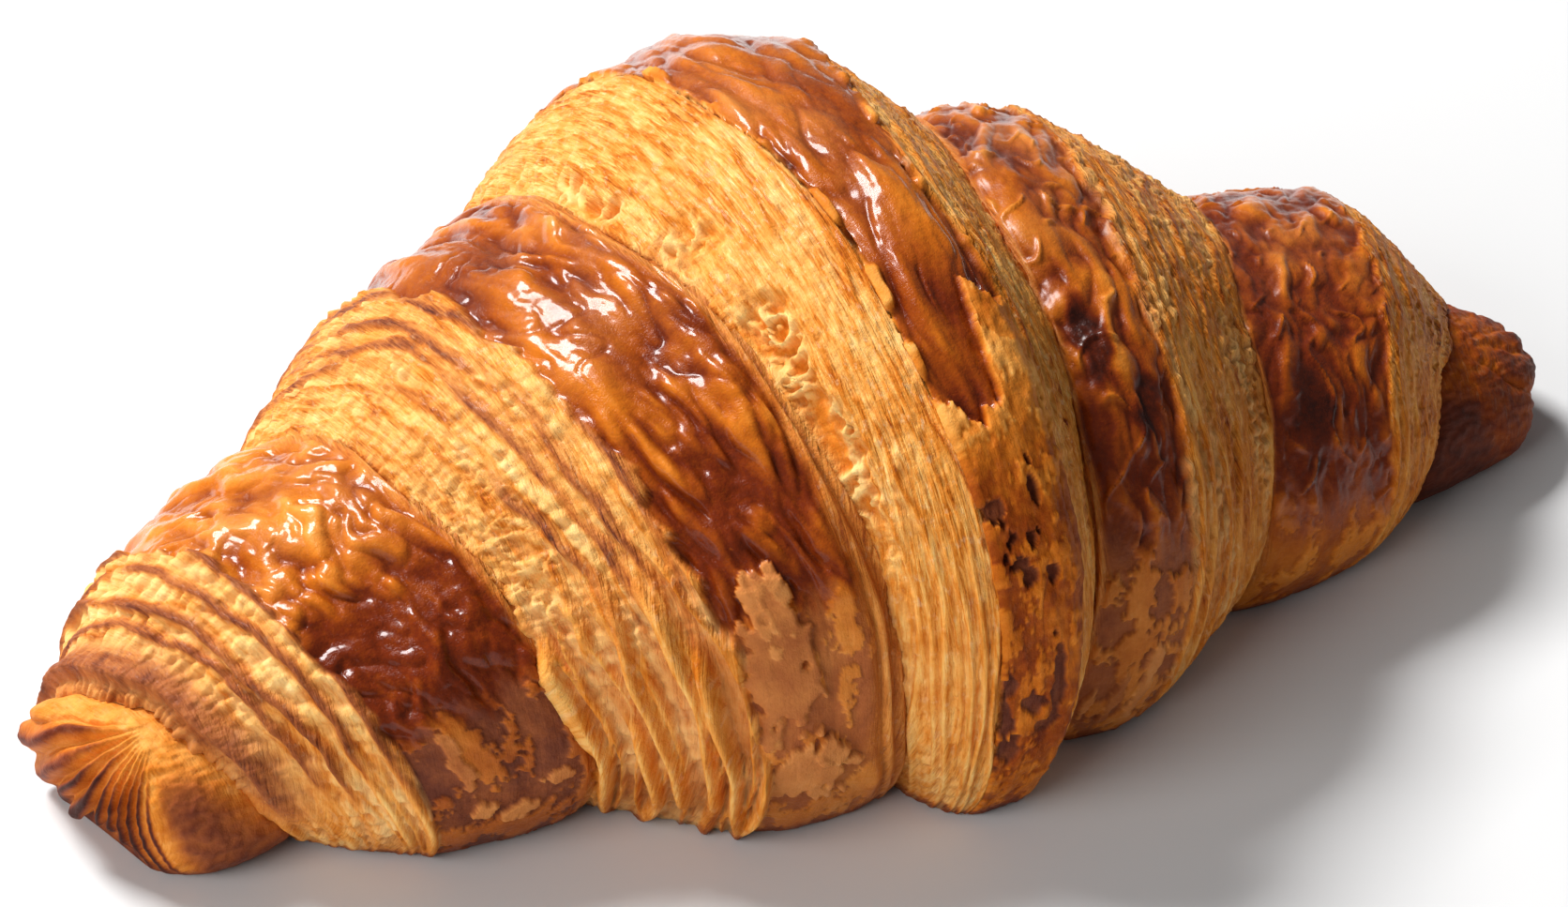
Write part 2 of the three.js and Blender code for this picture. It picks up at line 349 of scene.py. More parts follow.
TONGUE_CROWN = dict(
    seed=3, across=3.2, along=14.0, puff=1.1, lobes=1.0, busy=0.7, fold=0.0, shoulder=0.0,
    saddle=0.0, over=0.0, bake=0.66, spread=0.16, low_bake=0.11, dark_length=36, edge_soft=0.25,
    bare_bake=0.70, bare_skin=0.05, bare_gloss=0.05, torn=0.4,
)
# Degrees round at which the glaze ends, left and right of the middle of the tongue
TONGUE_GLAZE_ENDS = (132, 147)
# The dry sheet of skin below the glaze lifts by these millimetres, more at its upper edge.
SHEET_LIFT = (0.40, 0.85)
BURNT_BAKE = 0.78
# Millimetres right of the middle, degrees round, and half sizes
BURNT_PATCHES = (
    (-4.3, 87.0, 0.9, 4.4), (1.1, 90.5, 0.8, 4.6), (-2.9, 79.0, 2.2, 1.6),
    (-1.6, 88.5, 1.2, 1.3), (0.4, 83.0, 1.0, 1.2), (-3.2, 118.5, 1.0, 0.8),
    (1.2, 119.5, 0.6, 2.2), (-0.9, 109.0, 0.6, 0.7), (-2.2, 115.5, 0.8, 1.2),
    (-0.2, 113.0, 0.5, 1.0), (1.4, 108.0, 0.7, 0.9), (-1.9, 110.5, 1.0, 0.5),
    (0.6, 114.5, 0.6, 0.5), (-3.0, 112.0, 0.5, 0.6),
)

wide = np.concatenate([place, right_face[0]])
t_wide = t + 0 * wide
right_border = crest(RIGHT, 0, angle)
right_border = right_border + 1.5 * between(angle, 1.6, 1.9) * between(angle, 3.0, 2.6)
from_edge = -np.minimum(wide + crest(LEFT, 0, angle), right_border - wide)
glaze_end = mix(*at_degrees(TONGUE_GLAZE_ENDS, angle, lengths), between(wide, 0.8, 2.2))
crown = crown_zone(from_edge, 0 * wide, wide, t_wide, angle, glaze_end, TONGUE_CROWN)
burnt = 0 * wide
for number, (middle, degrees, *half) in enumerate(BURNT_PATCHES):
    here = (middle, at_degrees(degrees, angle, lengths))
    hole = patch(wide, t_wide, here, half, 0.9, 300 + 3 * number)
    burnt = np.maximum(burnt, hole)
burnt = burnt * (1 - crown["glaze"])
plate = (1 - burnt) * (1 - crown["glaze"])
pebbles = 0.20 * lumps(wide / 1.7, t_wide / 2.4, 306) + 0.12 * lumps(wide / 0.8, t_wide / 0.9, 307)
lifted = mix(*SHEET_LIFT, between(angle, 1.7, 2.0))
mottled = 0.07 * lumps(wide / 1.8, t_wide / 3, 308) + 0.06 * lumps(wide / 0.6, t_wide / 0.9, 309)
crown["relief"] += (lifted + pebbles) * plate - 0.15 * burnt
crown["bake"] += plate * mottled
crown["bake"] -= 0.24 * plate * between(angle, 2.05, 2.35)
crown["bake"] = mix(crown["bake"], BURNT_BAKE + 0.1 * lumps(wide / 1.5, t_wide / 3, 305), burnt)
crown["skin"] = mix(crown["skin"], 0.9, burnt)


def laminated(f, t, layers, seed):
    """Edges of dough layers along the wrap: how far they stand out, how brown their lips are."""
    def sheets(count, spread, seed):
        drift = spread * lumps(t / 19, 1.5 * f, seed)
        drift = drift + 0.35 * spread * lumps(t / 6, 4 * f, seed + 1)
        q = count * (f + drift)
        layer = np.floor(q)
        x = q - layer
        strength = between(lumps(t / 13 + 3.7 * layer, 5.3 * layer, seed + 2), -0.6, 0.4)
        lip = np.exp(-3.0 * x) * (1 - np.exp(-22 * x)) * 1.4
        line = np.exp(-((x - 0.14) / 0.13) ** 2)
        return lip * (0.2 + 0.8 * strength), line * (0.1 + 0.9 * strength)

    coarse, coarse_line = sheets(layers, 0.11, seed)
    other, other_line = sheets(0.8 * layers, 0.15, seed + 11)
    thin, thin_line = sheets(2.7 * layers, 0.06, seed + 23)
    height = np.maximum(coarse, 0.85 * other) + 0.2 * thin
    browned = np.maximum(np.maximum(coarse_line, 0.8 * other_line), 0.6 * thin_line)
    return height, browned


def fibres(x, t, wide, long, seed):
    """Fine fibres along the wrap, 1 on a fibre."""
    bend = lumps(x / (3 * wide), t / (1.6 * long), seed + 1)
    return (1 - np.clip(np.abs(lumps(x / wide + 0.8 * bend, t / long, seed)), 0, 1)) ** 3


def strands(f, t, count, seed, roam=1.0, thick=0.25):
    """Rounded strands of torn layers that wander, cross and end: 0 between them, 1 on top."""
    place = count * (f + 0.05 * lumps(t / 26, 1.2 * f, seed))
    height = np.zeros(place.shape)
    for k in range(count + 1):
        sway = 0.60 * lumps(t / 24, 3.1 * k, seed + 1) + 0.09 * lumps(t / 6, 5.3 * k, seed + 2)
        middle = k + 0.3 + roam * sway
        half = thick + 0.36 * thick * lumps(t / 11, 7.7 * k, seed + 3)
        there = between(lumps(t / 24, 2.3 * k, seed + 4), -0.55, -0.1)
        ridge = np.sqrt(np.clip(1 - ((place - middle) / half) ** 2, 0, 1))
        height = np.maximum(height, there * ridge)
    return height


def cells(x, y, seed):
    """Distance to the nearest of many scattered points, in grid steps."""
    x, y = np.broadcast_arrays(np.asarray(x, float), np.asarray(y, float))
    i = np.floor(x).astype(np.int64)
    j = np.floor(y).astype(np.int64)
    near = np.full(x.shape, 9.0)
    for di in (-1, 0, 1):
        for dj in (-1, 0, 1):
            px = i + di + hashed(i + di, j + dj, seed)
            py = j + dj + hashed(i + di, j + dj, seed + 1)
            near = np.minimum(near, np.hypot(px - x, py - y))
    return near


BUBBLE_HEIGHT = 0.75
CRUMB_DEPTH = 1.3


# What the look of a face holds. Above the angles in low: the number of layers, how far their
# lips stand out, and ledges, each with its place and height, how brown they are, and how bubbly
# the crumb is between them. Below: strands, how far they stand out as cords, and how dull and
# dark the gaps are, partly the crumb's own tan and partly painted shade. All over: how much crumb
# shows, how deep it opens by the crevice, fibre and bake.
def face_zone(f, x, t, angle, look):
    """A cut face, f from its crest to its crevice: brown lips of layers above, strands below."""
    seed = look["seed"] + 100
    low = between(angle + 0.25 * lumps(f * 3, t / 20, seed + 5), *look["low"])
    stand, browned = laminated(f, t, look["layers"], seed)
    cord = strands(f, t, look["strands"], seed + 50, 1.2)
    cord = np.maximum(cord, 0.55 * strands(f, t, 2 * look["strands"], seed + 55, 2.6, 0.2))
    wide = fibres(x, t, 1.6, 14, seed + 60)
    fine = fibres(x, t, 0.75, 6, seed + 62)
    # The ledges
    ledge = 0 * f
    standing = 0 * f
    for number, (middle, height) in enumerate(look["ledges"]):
        drift = 0.08 * lumps(t / 16, 3.3 * number, seed + 80)
        drift = drift + 0.02 * lumps(t / 4, 7.1 * number, seed + 81)
        off = 11 * (f - middle - drift)
        profile = np.exp(-(off / np.where(off < 0, 0.6, 0.2)) ** 2)
        stops = lumps(t / 18, 5.1 * number, seed + 82) + 0.7 * look["bubbly"]
        profile = profile * between(stops, -0.25, 0.3) * (1 - low)
        ledge = np.maximum(ledge, profile)
        standing = np.maximum(standing, height * profile)
    body = mix(np.maximum(stand, ledge), cord, low)
    gap = between(body, 0.5, 0.1)
    # The open crumb between them, in bubbles
    near = cells(x / 1.5, t / 1.7, seed + 35)
    domes = 1 - np.clip(near / (0.70 + 0.35 * lumps(x / 3, t / 3, seed + 44)), 0, 1) ** 2
    rough = lumps(x / 0.85, t / 1.0, seed + 35) + 0.6 * lumps(x / 0.4, t / 0.5, seed + 36)
    open_crumb = gap * between(lumps(x / 5, t / 14, seed + 33), -0.4, 0.3) * look["crumb"]
    bubbly = between(lumps(x / 3, t / 7, seed + 43), -0.6, 0.0) * (1 - ledge) * (1 - low)
    open_crumb = np.maximum(open_crumb, look["bubbly"] * bubbly)
    # The band of torn crumb by the crevice, with bridges and threads across it
    bits = lumps(x / 1.5, t / 1.9, seed + 38) + 0.8 * lumps(x / 0.75, t / 0.9, seed + 39)
    bits = bits + 0.4 * lumps(x / 0.4, t / 0.45, seed + 41)
    thread = creases(x + 0.5 * t, x - 0.8 * t, 2.4, 4.0, seed + 31, 0.16)
    bridge = np.maximum(between(bits, -0.1, 0.7), thread)
    bridge = bridge * between(lumps(t / 5, x / 2.5, seed + 40), -0.6, 0.2)
    rim = f + 0.12 * lumps(t / 7, 0.7, seed + 32) + 0.06 * lumps(t / 2.2, 2 * f, seed + 42)
    rim = rim + 0.22 * np.exp(-((angle - 2.75) / 0.35) ** 2)
    deep = between(rim, 0.76, 0.88) * between(f, 1.0, 0.94) * between(angle, 1.8, 2.3)
    deep = deep * between(lumps(t / 13, 0.5, seed + 34), -0.45, 0.15) * look["deep"]
    # All of it together
    relief = mix(look["lip"] * stand * (1 - 0.6 * look["bubbly"]), look["cord"] * cord, low)
    relief = np.maximum(relief, standing) + (0.22 * wide + 0.10 * fine) * mix(1, 0.5, low)
    relief = relief * (1 - 0.7 * deep) + rough * (0.04 + 0.14 * gap)
    relief = relief + BUBBLE_HEIGHT * domes * open_crumb
    relief = relief + 0.28 * pillows(x, t, 3.0, 7.0, seed + 90) * (1 - low) * look["crumb"]
    relief = relief - deep * (CRUMB_DEPTH - 1.2 * bridge - 0.18 * rough)
    flank = np.clip(4 * cord * (1 - cord), 0, 1)
    # Darker in the gaps between strands: painted shade. The strands' flanks are darker too.
    lower = 0.03 * cord - 0.03 + 0.12 * flank + 0.10 * gap
    bake = look["face_bake"] + mix(0.20 * browned, lower, low)
    bake = bake + 0.12 * (wide - 0.35)
    bake = bake + 0.14 * (fine - 0.35) + 0.07 * between(f, 0.15, 0.0)
    bake = bake + 0.08 * lumps(x / 4, t / 10, seed + 37)
    # Darker between the bubbles, painted shade in the recesses; paler on their domes
    bake = bake + (0.12 - 0.24 * domes) * open_crumb + look["ledge_bake"] * ledge
    # The band's floor is darker, painted shade in the recess; its bridges are paler
    bake = mix(bake, 0.48 - 0.36 * bridge + 0.08 * rough, deep)
    crumb = np.clip(open_crumb * 0.55 * (1 - browned) * (1 - ledge) + deep * 0.6 * bridge, 0, 1)
    bake = np.minimum(bake, 0.62)
    # In the gaps the dull colour is partly the crumb's own tan and partly painted shade
    skin = np.maximum(0.8 * ledge, look["gap_dull_and_shade"] * low * gap)
    fibre = look["fibre"] * (1 - 0.8 * np.maximum(deep, crumb)) * mix(1, 0.6, low)
    return zone(f, relief=relief, bake=bake, crumb=crumb, skin=skin, fibre=fibre)


TONGUE_LEFT_FACE = dict(
    seed=101, low=(2.3, 1.7), layers=8, lip=0.6, ledges=(), ledge_bake=0.0, bubbly=0.0,
    strands=6, cord=0.7, gap_dull_and_shade=0.0, crumb=0.5, deep=1.0, fibre=1.0, face_bake=0.18,
)
TONGUE_RIGHT_FACE = dict(
    seed=131, low=(2.5, 1.95), layers=5, lip=0.6, ledges=(), ledge_bake=0.0, bubbly=0.0,
    strands=5, cord=0.4, gap_dull_and_shade=0.3, crumb=0.2, deep=0.0, fibre=1.0, face_bake=0.21,
)

t_left = t + 0 * left_face[2]
t_right = t + 0 * right_face[2]
left = face_zone(left_face[2][::-1], -left_face[0][::-1], t_left, angle, TONGUE_LEFT_FACE)
right = face_zone(right_face[2], right_face[0], t_right, angle, TONGUE_RIGHT_FACE)
over = between(from_edge[TONGUE_ROWS[1]:], 0.3, -0.3)
for key, mark in crown.items():
    right[key] = mix(right[key], mark[TONGUE_ROWS[1]:], over)
    crown[key] = mark[:TONGUE_ROWS[1]]


# Radians from the underside over which the relief comes in, and millimetres above the tray over
# which the scorched skin fades
RELIEF_FROM = (0.6, 1.5)
SCORCH_FADES = (2.6, 0.6)
SCORCH_BAKE = 0.80


def stacked(zones):
    """One set of marks for a whole piece, from those of its zones in order."""
    return {key: np.concatenate([zone[key] for zone in zones]) for key in zones[0]}


def raised(base, relief, angle, sign):
    """Moves the skin out along its normals, and less under the roll, where it lay on the tray."""
    across = np.gradient(base, axis=0)
    along = (np.roll(base, -1, axis=1) - np.roll(base, 1, axis=1)) / 2
    normal = np.cross(across, along) * sign
    normal = normal / np.maximum(np.linalg.norm(normal, axis=-1, keepdims=True), 1e-9)
    above = between(np.minimum(angle, TURN - angle), *RELIEF_FROM)
    return base + normal * (relief * above)[..., None]


def scorched(marks, sheet):
    """The skin browns darker where it met the hot tray."""
    height = sheet[..., 2] + 0.6 * lumps(sheet[..., 0] / 2, sheet[..., 1] / 2, 7)
    rim = between(height, *SCORCH_FADES)
    marks["bake"] = mix(marks["bake"], SCORCH_BAKE, 0.75 * rim)
    marks["skin"] = mix(marks["skin"], 0.5, rim)
    return marks


# Millimetres from the middle of the roll to the middle of its footprint, and those over which
# the skin bends into the flat base
MIDDLE = (1.144, 0.078)
GROUND_SOFTNESS = 0.3


def closed_piece(name, rows, marks, wrap, ends=False):
    """A mesh of rows of points round the roll. The rows close on themselves, or at two ends."""
    count, around = rows.shape[:2]
    points = rows.reshape(-1, 3).copy()
    points[:, 2] = GROUND_SOFTNESS * np.logaddexp(0, points[:, 2] / GROUND_SOFTNESS)
    points[:, 0] += MIDDLE[0]
    points[:, 1] += MIDDLE[1]
    index = np.arange(count * around).reshape(count, around)
    beside = np.roll(index, -1, axis=1)
    if ends:
        near, far, near_b, far_b = index[:-1], index[1:], beside[:-1], beside[1:]
    else:
        near, far, near_b, far_b = index, np.roll(index, -1, 0), beside, np.roll(beside, -1, 0)
    quads = np.stack([near, far, far_b, near_b], -1).reshape(-1, 4)
    loops = [quads.ravel()]
    sizes = [np.full(len(quads), 4)]
    values = {key: mark.ravel() for key, mark in marks.items() if key != "relief"}
    values["across"] = wrap[0].ravel()
    values["along"] = wrap[1].ravel()
    if ends:
        for edge, order in ((0, 1), (-1, -1)):
            pole = len(points)
            points = np.vstack([points, points[index[edge]].mean(axis=0)])
            fan = np.stack([index[edge], beside[edge], np.full(around, pole)], -1)[:, ::order]
            loops.append(fan.ravel())
            sizes.append(np.full(around, 3))
            for key, mark in values.items():
                values[key] = np.append(mark, mark[index[edge]].mean())
    loops = np.concatenate(loops)
    sizes = np.concatenate(sizes)
    mesh = bpy.data.meshes.new(name)
    mesh.vertices.add(len(points))
    mesh.vertices.foreach_set("co", (points * 0.001).ravel())
    mesh.loops.add(len(loops))
    mesh.loops.foreach_set("vertex_index", loops.astype(np.int32))
    mesh.polygons.add(len(sizes))
    starts = np.concatenate([[0], np.cumsum(sizes)[:-1]])
    mesh.polygons.foreach_set("loop_start", starts.astype(np.int32))
    mesh.polygons.foreach_set("loop_total", sizes.astype(np.int32))
    mesh.update(calc_edges=True)
    mesh.validate()
    for key, mark in values.items():
        layer = mesh.attributes.new(key, "FLOAT", "POINT")
        layer.data.foreach_set("value", mark.astype(np.float32))
    mesh.shade_smooth()
    piece = bpy.data.objects.new(name, mesh)
    bpy.context.scene.collection.objects.link(piece)
    corners = points[quads]
    volume = np.einsum("ij,ij->i", corners[:, 0], np.cross(corners[:, 1], corners[:, 2])).sum()
    volume += np.einsum("ij,ij->i", corners[:, 0], np.cross(corners[:, 2], corners[:, 3])).sum()
    if volume < 0:
        mesh.flip_normals()
    return piece


inside = zone(left_tuck[0], bake=0.3, crumb=0.8)
marks = stacked([inside, left, crown, right, inside])
sheet = raised(base, marks["relief"], angle, 1)
marks = scorched(marks, sheet)
tongue = closed_piece("croissant_tongue", sheet, marks, (across, t + 0 * across))


PALE_CRUMB = (0.90, 0.66, 0.30)
GOLDEN_CRUMB = (0.80, 0.44, 0.13)
# Pale painted glints on the dry fibres, standing in for small highlights
PAINTED_FIBRE_GLINT = (0.94, 0.76, 0.46)


def pastry_group():
    """Colour and surface of baked pastry, from how baked, glazed, skinned and crumby it is."""
    tree = bpy.data.node_groups.new("pastry surface", "ShaderNodeTree")
    face = tree.interface
    for label in ("Bake", "Glaze", "Skin", "Crumb", "Fibre", "Across", "Along"):
        face.new_socket(name=label, in_out="INPUT", socket_type="NodeSocketFloat")
    for label, kind in (("Color", "NodeSocketColor"), ("Roughness", "NodeSocketFloat"),
                        ("Coat", "NodeSocketFloat"), ("Height", "NodeSocketFloat")):
        face.new_socket(name=label, in_out="OUTPUT", socket_type=kind)
    nodes, links = tree.nodes, tree.links
    given = nodes.new("NodeGroupInput").outputs
    out = nodes.new("NodeGroupOutput").inputs
    place = nodes.new("ShaderNodeTexCoord").outputs["Object"]

    def set_input(socket, value):
        if isinstance(value, (int, float)):
            socket.default_value = value
        elif isinstance(value, tuple):
            socket.default_value = (*value, 1)
        else:
            links.new(value, socket)

    def noise(where, scale, detail, roughness=0.55):
        node = nodes.new("ShaderNodeTexNoise")
        links.new(where, node.inputs["Vector"])
        node.inputs["Scale"].default_value = scale
        node.inputs["Detail"].default_value = detail
        node.inputs["Roughness"].default_value = roughness
        return node.outputs["Fac"]

    def math(operation, *values, clamp=False):
        node = nodes.new("ShaderNodeMath")
        node.operation = operation
        node.use_clamp = clamp
        for socket, value in zip(node.inputs, values):
            set_input(socket, value)
        return node.outputs[0]

    def wrapped(across, along):
        """Place on the wrapped dough, stretched along the wrap."""
        node = nodes.new("ShaderNodeCombineXYZ")
        links.new(math("MULTIPLY", given["Across"], across), node.inputs[0])
        links.new(math("MULTIPLY", given["Along"], along), node.inputs[1])
        return node.outputs[0]

    def ramp(value, stops):
        node = nodes.new("ShaderNodeValToRGB")
        elements = node.color_ramp.elements
        while len(elements) < len(stops):
            elements.new(0.5)
        for element, (position, colour) in zip(elements, stops):
            element.position = position
            element.color = (*colour, 1)
        links.new(value, node.inputs["Fac"])
        return node.outputs["Color"]

    def blend(factor, a, b):
        node = nodes.new("ShaderNodeMix")
        node.data_type = "RGBA"
        set_input(node.inputs[0], factor)
        set_input(node.inputs[6], a)
        set_input(node.inputs[7], b)
        return node.outputs[2]

    # Noise with its scale per metre, and fibres with theirs per millimetre of wrapped dough
    mottle = math("SUBTRACT", noise(place, 260, 4), 0.5)
    grain = math("SUBTRACT", noise(place, 1700, 3, 0.65), 0.5)
    sand = math("SUBTRACT", noise(place, 5200, 2), 0.5)
    fibres = math("SUBTRACT", noise(wrapped(3.0, 0.17), 1, 4, 0.6), 0.5)
    wide_fibres = math("SUBTRACT", noise(wrapped(1.1, 0.07), 1, 3), 0.5)
    patches = math("SUBTRACT", noise(wrapped(0.30, 0.08), 1, 2), 0.5)

    def thin_lines(source, sharpness, patches, weight):
        away = math("MULTIPLY", math("ABSOLUTE", source), sharpness)
        line = math("SUBTRACT", 1.0, away, clamp=True)
        strength = math("MULTIPLY_ADD", patches, 2.4 * weight, 0.5 * weight, clamp=True)
        return math("MULTIPLY", math("MULTIPLY", line, given["Fibre"]), strength)

    bake = math("MULTIPLY_ADD", mottle, 0.20, given["Bake"])
    bake = math("MULTIPLY_ADD", grain, 0.16, bake)
    bake = math("MULTIPLY_ADD", fibres, math("MULTIPLY_ADD", given["Fibre"], 0.20, 0.04), bake)
    bake = math("ADD", thin_lines(fibres, 12.0, patches, 0.26), bake)
    bake = math("ADD", thin_lines(wide_fibres, 30.0, patches, 0.24), bake, clamp=True)
    hair = math("MULTIPLY", math("SUBTRACT", noise(wrapped(5.5, 0.3), 1, 2), 0.5), given["Fibre"])
    bake = math("MULTIPLY_ADD", hair, 0.22, bake, clamp=True)
    # From barely baked to burnt: glossy crust, then dull skin
    crust = ramp(bake, (
        (0.00, (0.92, 0.66, 0.30)),
        (0.14, (0.90, 0.52, 0.16)),
        (0.30, (0.82, 0.35, 0.070)),
        (0.45, (0.68, 0.215, 0.022)),
        (0.58, (0.53, 0.135, 0.008)),
        (0.72, (0.32, 0.060, 0.004)),
        (0.86, (0.15, 0.019, 0.003)),
        (1.00, (0.036, 0.007, 0.004)),
    ))
    dull = ramp(bake, (
        (0.0, (0.78, 0.38, 0.14)),
        (0.35, (0.58, 0.215, 0.065)),
        (0.6, (0.33, 0.100, 0.036)),
        (0.8, (0.13, 0.036, 0.020)),
        (1.0, (0.05, 0.014, 0.010)),
    ))
    mottled = math("MULTIPLY_ADD", mottle, 2.4, 0.5, clamp=True)
    pale = blend(mottled, PALE_CRUMB, GOLDEN_CRUMB)
    # Painted glints: pale sparkles on the fibres where fine noise peaks, in place of small
    # highlights
    painted_glint = math("MULTIPLY_ADD", noise(wrapped(1.9, 0.7), 1, 3, 0.6), 9.0, -5.2, clamp=True)
    painted_glint = math("MULTIPLY", math("MULTIPLY", painted_glint, given["Fibre"]), 0.30)
    crust = blend(painted_glint, crust, PAINTED_FIBRE_GLINT)
    colour = blend(given["Skin"], crust, dull)
    colour = blend(given["Crumb"], colour, pale)
    links.new(colour, out["Color"])
    # Glaze shines, whole skin is a little smoother than crumb, and grain and fibres stand out
    rough = math("MULTIPLY_ADD", given["Glaze"], -0.36, 0.60)
    rough = math("MULTIPLY_ADD", given["Skin"], -0.08, rough)
    links.new(math("MULTIPLY_ADD", grain, 0.30, rough, clamp=True), out["Roughness"])
    sheen = math("MULTIPLY", given["Fibre"], 0.12)
    links.new(math("MULTIPLY_ADD", given["Glaze"], 0.8, sheen), out["Coat"])
    height = math("MULTIPLY", grain, math("MULTIPLY_ADD", given["Fibre"], 0.6, 0.30))
    height = math("MULTIPLY_ADD", math("MULTIPLY", fibres, given["Fibre"]), 1.8, height)
    height = math("MULTIPLY_ADD", hair, 1.4, height)
    height = math("MULTIPLY_ADD", sand, 0.20, height)
    height = math("MULTIPLY_ADD", mottle, 0.35, height)
    links.new(height, out["Height"])
    return tree


PASTRY = pastry_group()


def pastry_material(piece_name, coat_roughness):
    """The surface above on one piece, under a coat of egg glaze."""
    material = bpy.data.materials.new(piece_name.replace("croissant_", "") + " pastry")
    material.use_nodes = True
    nodes, links = material.node_tree.nodes, material.node_tree.links
    surface = nodes["Principled BSDF"]
    group = nodes.new("ShaderNodeGroup")
    group.node_tree = PASTRY
    for label in ("Bake", "Glaze", "Skin", "Crumb", "Fibre", "Across", "Along"):
        mark = nodes.new("ShaderNodeAttribute")
        mark.attribute_name = label.lower()
        links.new(mark.outputs["Fac"], group.inputs[label])
    bump = nodes.new("ShaderNodeBump")
    bump.inputs["Strength"].default_value = 0.6
    bump.inputs["Distance"].default_value = 0.0005
    links.new(group.outputs["Height"], bump.inputs["Height"])
    links.new(bump.outputs["Normal"], surface.inputs["Normal"])
    links.new(group.outputs["Color"], surface.inputs["Base Color"])
    links.new(group.outputs["Roughness"], surface.inputs["Roughness"])
    links.new(group.outputs["Coat"], surface.inputs["Coat Weight"])
    surface.inputs["Coat Roughness"].default_value = coat_roughness
    surface.inputs["Coat IOR"].default_value = 1.31
    surface.inputs["Specular IOR Level"].default_value = 0.08
    surface.inputs["Subsurface Weight"].default_value = 0.1
    surface.inputs["Subsurface Radius"].default_value = (1.0, 0.45, 0.15)
    surface.inputs["Subsurface Scale"].default_value = 0.0012
    return material


def handed_over(piece, material):
    """Every piece is part of the one croissant, in its one material slot."""
    piece.data.materials.append(material)
    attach(piece, "root")
    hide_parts("croissant")


handed_over(tongue, pastry_material("croissant_tongue", LEFT["coat_roughness"]))


# The turns on both sides of the tongue, two to a side: bands of the same dough, each one
# coming out from under the last. Egg-glazed over their crowns down to where the brush
# stopped, dry and layered on their cut faces. Rolled in one piece with the tongue.

def crown_rows(side, turn, angle, count):
    """Rows up a crown: their place along the roll, their radius and their share of the way."""
    u = np.linspace(0, 1, count, endpoint=False)[:, None]
    inner = crevice(side, turn - 1, angle) + 0.1
    distance = mix(inner, crest(side, turn, angle), u)
    rise = np.sin(u * np.pi / 2) ** 0.8
    radius = roll_radius(side, distance) * (1 - step_at(side, turn - 1, angle) * (1 - rise))
    radius = radius - CREVICE_DEPTH * np.exp(-(distance - inner) / 0.5)
    return distance, radius, u + 0 * distance


LIP_HEIGHT = 2.2
LIP_BAKE = 0.68
RIBBON_HEIGHT = 0.75
RIBBON_BAKE = 0.47
FILM_HEIGHT = 0.25
FILM_BAKE = 0.46
FLAKE_HEIGHT = 0.5
# The first flake on a turn is browner than the others.
FLAKE_BAKE = (0.50, 0.38)
BLISTER_SLOPE = 0.28
SPOT_BAKE = 0.97


def hemmed(crown, x, t, width, seed):
    """Thin ribbons of dough along a crevice, on the crown beyond it; width is one per column."""
    lane = x / width
    ribbon = strands(lane, t, 3, seed) * between(lane, 1.1, 0.8)
    inner = between(lane + 0.3 * lumps(t / 6, 0.5, seed + 9), 0.9, 0.5)
    crown["relief"] = mix(crown["relief"], RIBBON_HEIGHT * ribbon, inner) * between(x, 0.0, 0.5)
    # Paler on the ribbons and darker between them: painted light and shade
    crown["bake"] = mix(crown["bake"], RIBBON_BAKE - 0.15 * ribbon, inner)
    crown["skin"] = mix(crown["skin"], 0.35, inner)
    crown["glaze"] = crown["glaze"] * mix(1, 0.55, inner)
    crown["fibre"] = np.maximum(crown["fibre"], 0.7 * inner)


def filmed(crown, x, t, start, end, seed):
    """A thin pale edge of lifted skin, partly a painted highlight on its ridge, with painted
    shadow in the dip behind it, from start to end, both millimetres across and along.
    """
    way = (t - start[1]) / (end[1] - start[1])
    middle = mix(start[0], end[0], way) + 0.5 * np.sin(np.pi * way)
    middle = middle + 0.3 * lumps(t / 2.5, 0.5, seed)
    there = between(way, -0.02, 0.12) * between(way, 1.02, 0.8)
    broken = between(lumps(t / 3, 0.5, seed + 3), -0.5, 0.1)
    line = np.exp(-((x - middle) / 0.18) ** 2) * there * broken
    behind = np.exp(-((x - middle - 0.45) / 0.3) ** 2) * there
    # Painted shadow in the dip just behind the lifted edge
    crown["relief"] = crown["relief"] + FILM_HEIGHT * line - 0.08 * behind
    # The edge line is paler, partly thin skin and partly a painted highlight
    crown["bake"] = mix(crown["bake"], FILM_BAKE, 0.6 * line) + 0.08 * behind
    crown["glaze"] = crown["glaze"] * (1 - 0.8 * line)
    crown["skin"] = mix(crown["skin"], 0.7, line)


def lipped(marks, f, t, angle):
    """The thick brown lip that the last turn on the left rolls over the tip."""
    upper = between(angle, 1.2, 1.9)
    off = f - 0.88
    roll = np.exp(-(off / np.where(off < 0, 0.16, 0.06)) ** 2) * upper
    browned = np.exp(-((f - 0.86) / 0.17) ** 2) * upper
    blotch = 0.12 * lumps(t / 3, 9 * f, 77) + 0.08 * lumps(t / 1.2, 16 * f, 78)
    knobs = 0.22 * lumps(11 * f, t / 2.4, 79) + 0.12 * lumps(20 * f, t / 0.7, 80)
    marks["relief"] = mix(marks["relief"], LIP_HEIGHT * roll + knobs, roll)
    marks["bake"] = mix(marks["bake"], LIP_BAKE + blotch, 0.9 * browned)
    marks["skin"] = np.maximum(marks["skin"], 0.85 * browned)
    marks["crumb"] = marks["crumb"] * (1 - browned)


def flaked(crown, mask, height, bake):
    """A loose flake of skin on a crown."""
    rim = 4 * mask * (1 - mask)
    crown["relief"] = crown["relief"] * mix(1, 0.4, mask) + height * mask
    crown["bake"] = mix(crown["bake"], bake, mask) - 0.14 * rim
    crown["glaze"] = crown["glaze"] * (1 - mask)
    crown["skin"] = mix(crown["skin"], 0.80, mask)


